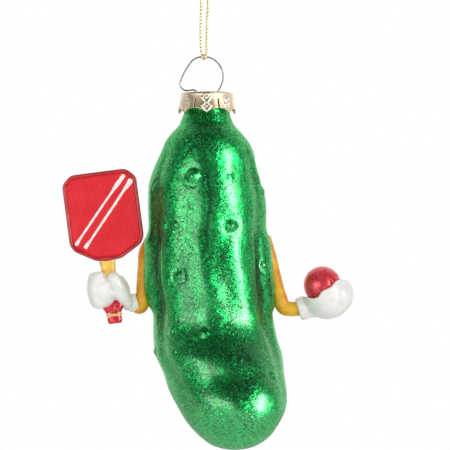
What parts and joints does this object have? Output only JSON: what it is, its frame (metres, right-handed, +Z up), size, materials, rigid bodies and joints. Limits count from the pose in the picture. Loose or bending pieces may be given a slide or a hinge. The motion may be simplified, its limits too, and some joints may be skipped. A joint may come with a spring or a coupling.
{
  "type": "pickleball ornament",
  "caption": "Hollow glass pickle tree ornament with a crown cap, wire hanger and thread loop, its gloved arms holding a small paddle and a perforated ball.",
  "frame": {"origin": "inside top of the thread's loop, where it hangs over a hook or twig", "axes": "+Z up, the front with the paddle's striped face towards -Y, +X to the viewer's right, towards the hand with the ball"},
  "size_m": [0.0948, 0.0485, 0.1581],
  "materials": {
    "gold_thread": "twisted metallic thread",
    "steel_wire": "drawn wire",
    "cap_sheet": "bright pale gold plating",
    "green_glass": "silvered inside, green lacquer with fine glitter",
    "gold_enamel": "glossy golden lacquer",
    "white_enamel": "glossy white lacquer",
    "ball_red": "glossy pearl red lacquer",
    "face_red": "satin red with fine ribs",
    "rim_red": "glossy clear red lacquer",
    "stripe_white": "raised white enamel",
    "throat_gold": "glossy golden lacquer",
    "grip_crimson": "pearl crimson lacquer",
    "band_gold": "metallic gold lacquer"
  },
  "bodies": {
    "cord": {"hanging_cord": "gold_thread"},
    "eye": {"cord_knot": "gold_thread"},
    "hanger": {"hanger_wire": "steel_wire"},
    "cap": {"cap_crown": "cap_sheet"},
    "glass": {"pickle_shell": "green_glass", "left_arm": "gold_enamel", "left_cuff": "white_enamel", "left_palm": "white_enamel", "left_thumb": "white_enamel", "left_finger_1": "white_enamel", "left_finger_2": "white_enamel", "left_finger_3": "white_enamel", "left_finger_4": "white_enamel", "right_arm": "gold_enamel", "right_cuff": "white_enamel", "right_palm": "white_enamel", "right_finger_1": "white_enamel", "right_finger_2": "white_enamel", "right_finger_3": "white_enamel", "right_finger_4": "white_enamel", "ball": "ball_red", "paddle_core": "rim_red", "paddle_edge_guard": "rim_red", "paddle_front_face": "face_red", "paddle_back_face": "face_red", "stripe_upper": "stripe_white", "stripe_lower": "stripe_white", "paddle_throat": "throat_gold", "paddle_grip": "grip_crimson", "grip_band": "band_gold", "butt_cap": "grip_crimson"}
  },
  "joints": [
    {"name": "sideways_tilt", "type": "hinge", "parent": "cord", "child": "eye", "pos_m": [0, 0, -0.03065], "axis": [0, 1, 0], "range_deg": [-20, 20]},
    {"name": "fore_aft_swing", "type": "hinge", "parent": "eye", "child": "hanger", "pos_m": [0, 0, -0.03065], "axis": [1, 0, 0], "range_deg": [-60, 60]},
    {"name": "cap_rock", "type": "hinge", "parent": "hanger", "child": "cap", "pos_m": [0.00095, 0, -0.04258], "axis": [1, 0, 0], "range_deg": [-10, 10]},
    {"name": "cap_pull", "type": "slide", "parent": "cap", "child": "glass", "axis": [0, 0, -1], "range_m": [0, 0.012]}
  ]
}
